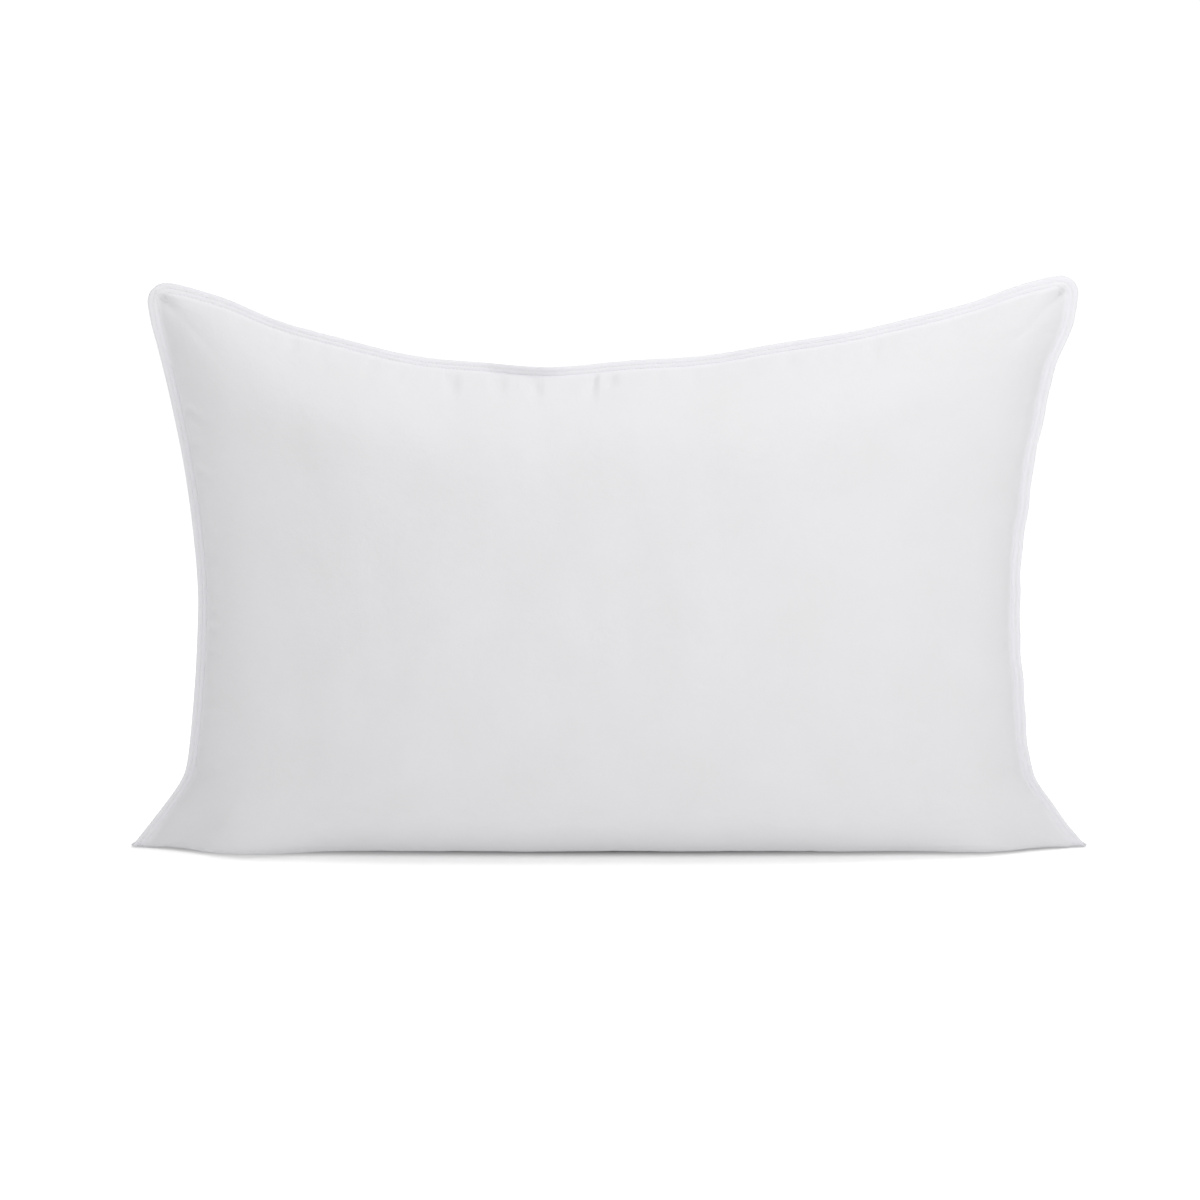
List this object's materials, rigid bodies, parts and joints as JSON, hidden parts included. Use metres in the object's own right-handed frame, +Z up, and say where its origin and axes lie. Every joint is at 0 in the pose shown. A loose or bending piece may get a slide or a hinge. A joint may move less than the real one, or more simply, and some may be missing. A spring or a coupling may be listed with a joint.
{
  "type": "bed pillow",
  "caption": "Stuffed rectangular bed pillow with a flat topstitched flange, standing on one long edge.",
  "frame": {"origin": "on the floor under the middle of the overall box", "axes": "+X along the long edge, to the right seen from the front; +Y to the back through the thickness; +Z up"},
  "size_m": [0.7476, 0.1767, 0.4406],
  "materials": {
    "cover_cloth": "fine plain weave, matt",
    "fill_fibre": "loose polyester cluster fibre",
    "sewing_thread": "twisted polyester thread",
    "label_satin": "blank satin ribbon"
  },
  "bodies": {
    "pillow": {"front_panel": "cover_cloth", "back_panel": "cover_cloth", "fibre_fill": "fill_fibre", "edge_seam_thread": "sewing_thread", "outer_topstitch_front": "sewing_thread", "outer_topstitch_back": "sewing_thread", "inner_topstitch_front": "sewing_thread", "inner_topstitch_back": "sewing_thread", "closing_stitch_front": "sewing_thread", "closing_stitch_back": "sewing_thread"},
    "label": {"care_label": "label_satin"}
  },
  "joints": [
    {"name": "label_flap", "type": "hinge", "parent": "pillow", "child": "label", "pos_m": [-0.06474, 0.00339, 0.3702], "axis": [1, 0, 0], "range_deg": [0, 120]}
  ]
}
